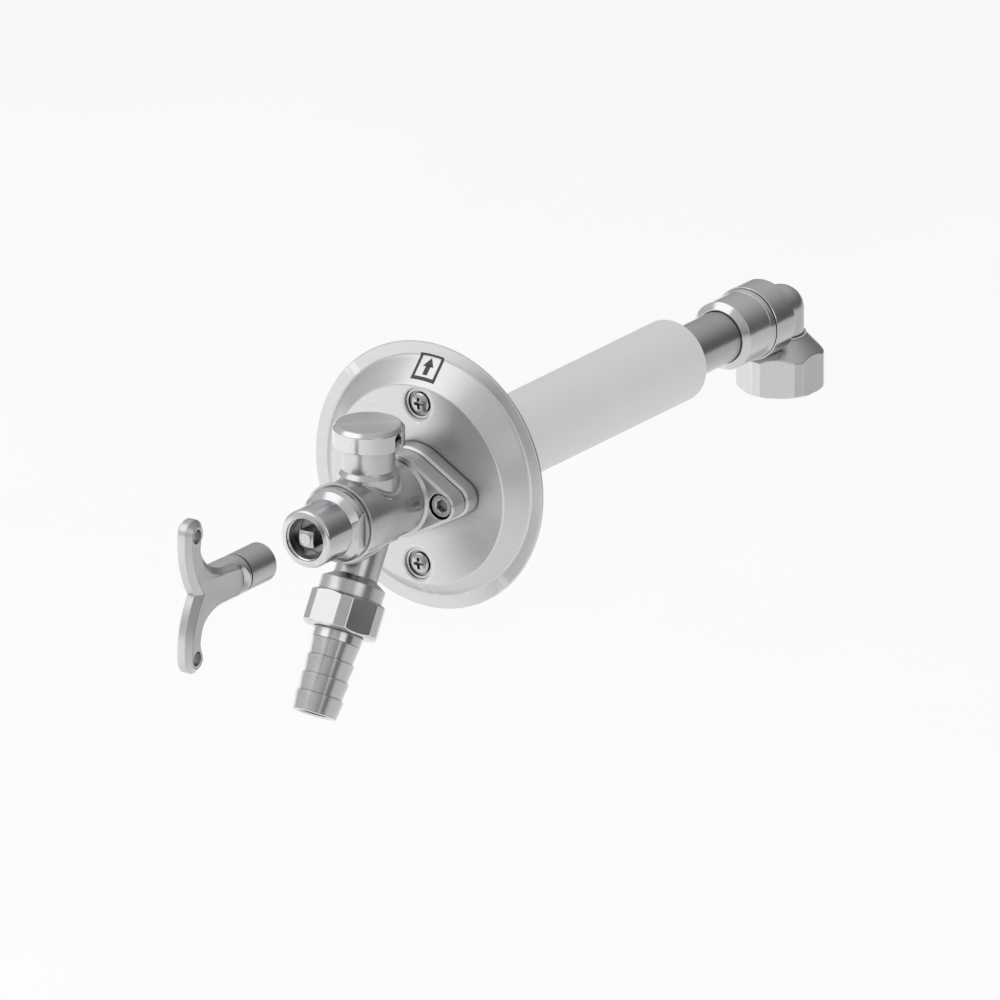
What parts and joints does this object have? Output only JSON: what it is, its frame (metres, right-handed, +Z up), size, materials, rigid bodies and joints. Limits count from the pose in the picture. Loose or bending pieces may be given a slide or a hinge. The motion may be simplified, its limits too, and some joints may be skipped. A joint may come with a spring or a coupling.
{
  "type": "garden tap",
  "caption": "frost-proof wall-mounted garden tap with round plate, through-wall sleeve and pipe, rear elbow inlet, angled barbed hose outlet and loose square key",
  "frame": {"origin": "the point where the tap's axis meets the wall surface, midway between the two wall screws", "axes": "+Y runs into the wall, -Y points out to the front, +Z is up, +X is to the right for someone who faces the wall; the tap's own axis slopes down by 2 degrees towards the front"},
  "size_m": [0.113, 0.4453, 0.1433],
  "materials": {
    "satin_chrome": "satin chromed brass",
    "steel": "stainless steel",
    "plate_metal": "fine brushed stainless sheet",
    "brass": "machined brass",
    "rubber": "black sealing rubber",
    "pale_plastic": "light grey moulded plastic",
    "key_metal": "satin die-cast"
  },
  "bodies": {
    "fixed_unit": {"wall_plate": "plate_metal", "plate_screws": "steel", "pipe_flange": "satin_chrome", "flange_gasket": "rubber", "tap_body": "satin_chrome", "flange_screws": "steel", "bonnet": "satin_chrome", "bonnet_seal": "rubber", "spindle_clip": "steel", "rod_guide": "pale_plastic", "breaker_cap": "satin_chrome", "breaker_seat": "pale_plastic", "breaker_seal": "rubber", "hose_washer": "rubber", "hose_tail": "satin_chrome", "valve_seat": "brass", "wall_sleeve": "pale_plastic", "inner_pipe": "steel", "compression_nut": "satin_chrome", "olive": "brass", "coupling_body": "satin_chrome", "elbow": "satin_chrome", "inlet_union": "satin_chrome"},
    "spindle_unit": {"spindle": "steel", "spindle_seals": "rubber"},
    "key_unit": {"key_handle": "key_metal", "key_insert": "steel"},
    "rod_unit": {"valve_rod": "steel", "valve_head": "brass", "valve_washer": "rubber", "washer_screw": "steel"},
    "nut_unit": {"hose_nut": "satin_chrome"},
    "float_unit": {"breaker_float": "pale_plastic", "float_washer": "rubber"}
  },
  "joints": [
    {"name": "spindle_turn", "type": "hinge", "parent": "fixed_unit", "child": "spindle_unit", "pos_m": [0, -0.07538, -0.00263], "axis": [0, -0.9994, -0.0349], "range_deg": [0, 720]},
    {"name": "key_slide", "type": "slide", "parent": "spindle_unit", "child": "key_unit", "axis": [0, 0.9994, 0.0349], "range_m": [0, 0.0405]},
    {"name": "rod_travel", "type": "slide", "parent": "fixed_unit", "child": "rod_unit", "axis": [0, -0.9994, -0.0349], "range_m": [0, 0.004]},
    {"name": "nut_turn", "type": "hinge", "parent": "fixed_unit", "child": "nut_unit", "pos_m": [0, -0.05967, -0.04281], "axis": [0, -0.4695, -0.8829], "continuous": true},
    {"name": "float_lift", "type": "slide", "parent": "fixed_unit", "child": "float_unit", "axis": [0, -0.0349, 0.9994], "range_m": [0, 0.0025]}
  ],
  "couplings": [
    {"joint": "spindle_turn", "follows": "rod_travel", "rad_per_m": 3141.6}
  ]
}
